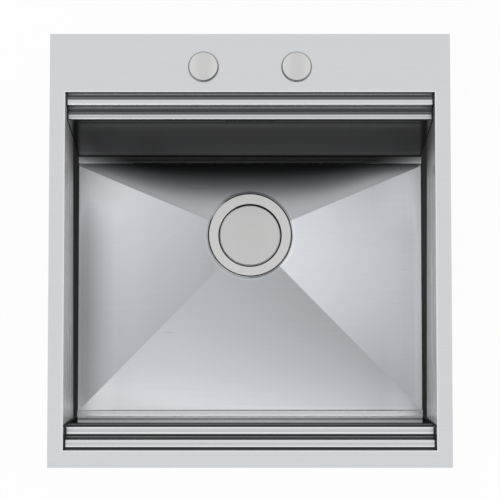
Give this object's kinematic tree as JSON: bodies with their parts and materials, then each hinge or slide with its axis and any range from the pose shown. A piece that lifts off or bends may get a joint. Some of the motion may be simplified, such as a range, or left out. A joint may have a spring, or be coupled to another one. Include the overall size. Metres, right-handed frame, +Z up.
{
  "type": "kitchen sink",
  "caption": "Square inset steel sink with a deep single bowl, stepped front and rear walls, a creased bottom, a covered basket waste opened by a knob, and a flat rear tap deck.",
  "frame": {"origin": "middle of the rim's outline, at the height of the worktop that the rim's seal rests on", "axes": "+X to the user's right, +Y to the rear where the tap deck is, +Z up out of the bowl"},
  "size_m": [0.48, 0.52, 0.3286],
  "materials": {
    "deck_steel": "satin",
    "wall_steel": "brushed",
    "bottom_steel": "brushed",
    "waste_steel": "satin",
    "cover_steel": "satin",
    "disc_steel": "turned",
    "zinc_steel": "zinc plated",
    "brass": "machined",
    "ring_rubber": "matte",
    "seal_foam": "matte",
    "pad_rubber": "matte",
    "black_plastic": "satin",
    "white_plastic": "satin",
    "cable_black": "satin",
    "hose_grey": "matte"
  },
  "bodies": {
    "sink": {"bottom_sound_pad": "pad_rubber", "bowl_bottom": "bottom_steel", "clamp_bosses": "zinc_steel", "clamp_screws": "zinc_steel", "control_cable": "cable_black", "crank_cover": "black_plastic", "crank_cover_screws": "zinc_steel", "deck": "deck_steel", "flange_gasket": "ring_rubber", "front_rim": "deck_steel", "front_wall": "wall_steel", "hollow_bolt": "brass", "hose_clips": "zinc_steel", "housing_gasket": "ring_rubber", "knob_back_nut": "black_plastic", "knob_housing": "black_plastic", "knob_washer": "ring_rubber", "left_rim": "deck_steel", "left_sound_pad": "pad_rubber", "left_wall": "wall_steel", "overflow_chamber": "wall_steel", "overflow_hose": "hose_grey", "rear_wall": "wall_steel", "right_rim": "deck_steel", "right_sound_pad": "pad_rubber", "right_wall": "wall_steel", "rim_seal": "seal_foam", "shaft_ring": "ring_rubber", "tap_cover_nut": "zinc_steel", "tap_cover_ring": "ring_rubber", "tap_cover_washer": "zinc_steel", "tap_hole_cover": "disc_steel", "waste_cup": "waste_steel", "waste_housing": "black_plastic"},
    "knob": {"control_knob": "disc_steel"},
    "slider": {"cable_slider": "white_plastic"},
    "rocker": {"lifter_shaft": "white_plastic", "shaft_crank": "white_plastic"},
    "lifter": {"lifter_pin": "brass"},
    "strainer": {"strainer_basket": "waste_steel", "stopper": "ring_rubber"},
    "cover": {"drain_cover": "cover_steel"},
    "left_rear_clamp": {"left_rear_claw": "zinc_steel"},
    "left_front_clamp": {"left_front_claw": "zinc_steel"},
    "right_rear_clamp": {"right_rear_claw": "zinc_steel"},
    "right_front_clamp": {"right_front_claw": "zinc_steel"},
    "front_clamp": {"front_claw": "zinc_steel"},
    "rear_clamp": {"rear_claw": "zinc_steel"}
  },
  "joints": [
    {"name": "knob_turn", "type": "hinge", "parent": "sink", "child": "knob", "pos_m": [0.05585, 0.22, 0.0041], "axis": [0, 0, -1], "range_deg": [0, 90]},
    {"name": "slider_climb", "type": "slide", "parent": "sink", "child": "slider", "axis": [0, 0, 1], "range_m": [0, 0.009]},
    {"name": "rocker_swing", "type": "hinge", "parent": "sink", "child": "rocker", "pos_m": [0.05585, 0.0605, -0.275], "axis": [-1, 0, 0], "range_deg": [0, 30]},
    {"name": "pin_lift", "type": "slide", "parent": "sink", "child": "lifter", "axis": [0, 0, 1], "range_m": [0, 0.009]},
    {"name": "strainer_lift_out", "type": "slide", "parent": "lifter", "child": "strainer", "axis": [0, 0, 1], "range_m": [0, 0.25]},
    {"name": "cover_lift_off", "type": "slide", "parent": "strainer", "child": "cover", "axis": [0, 0, 1], "range_m": [0, 0.23]},
    {"name": "left_rear_clamp_swing", "type": "hinge", "parent": "sink", "child": "left_rear_clamp", "pos_m": [-0.2266, 0.125, -0.043], "axis": [0, 0, -1], "range_deg": [0, 90]},
    {"name": "left_front_clamp_swing", "type": "hinge", "parent": "sink", "child": "left_front_clamp", "pos_m": [-0.2266, -0.175, -0.043], "axis": [0, 0, -1], "range_deg": [0, 90]},
    {"name": "right_rear_clamp_swing", "type": "hinge", "parent": "sink", "child": "right_rear_clamp", "pos_m": [0.2266, 0.125, -0.043], "axis": [0, 0, 1], "range_deg": [0, 90]},
    {"name": "right_front_clamp_swing", "type": "hinge", "parent": "sink", "child": "right_front_clamp", "pos_m": [0.2266, -0.175, -0.043], "axis": [0, 0, 1], "range_deg": [0, 90]},
    {"name": "front_clamp_swing", "type": "hinge", "parent": "sink", "child": "front_clamp", "pos_m": [0, -0.2457, -0.043], "axis": [0, 0, -1], "range_deg": [0, 90]},
    {"name": "rear_clamp_swing", "type": "hinge", "parent": "sink", "child": "rear_clamp", "pos_m": [0, 0.2457, -0.043], "axis": [0, 0, 1], "range_deg": [0, 90]}
  ],
  "couplings": [
    {"joint": "slider_climb", "follows": "knob_turn", "m_per_rad": 0.005729},
    {"joint": "rocker_swing", "follows": "knob_turn", "ratio": 0.3333},
    {"joint": "pin_lift", "follows": "knob_turn", "m_per_rad": 0.005729}
  ]
}
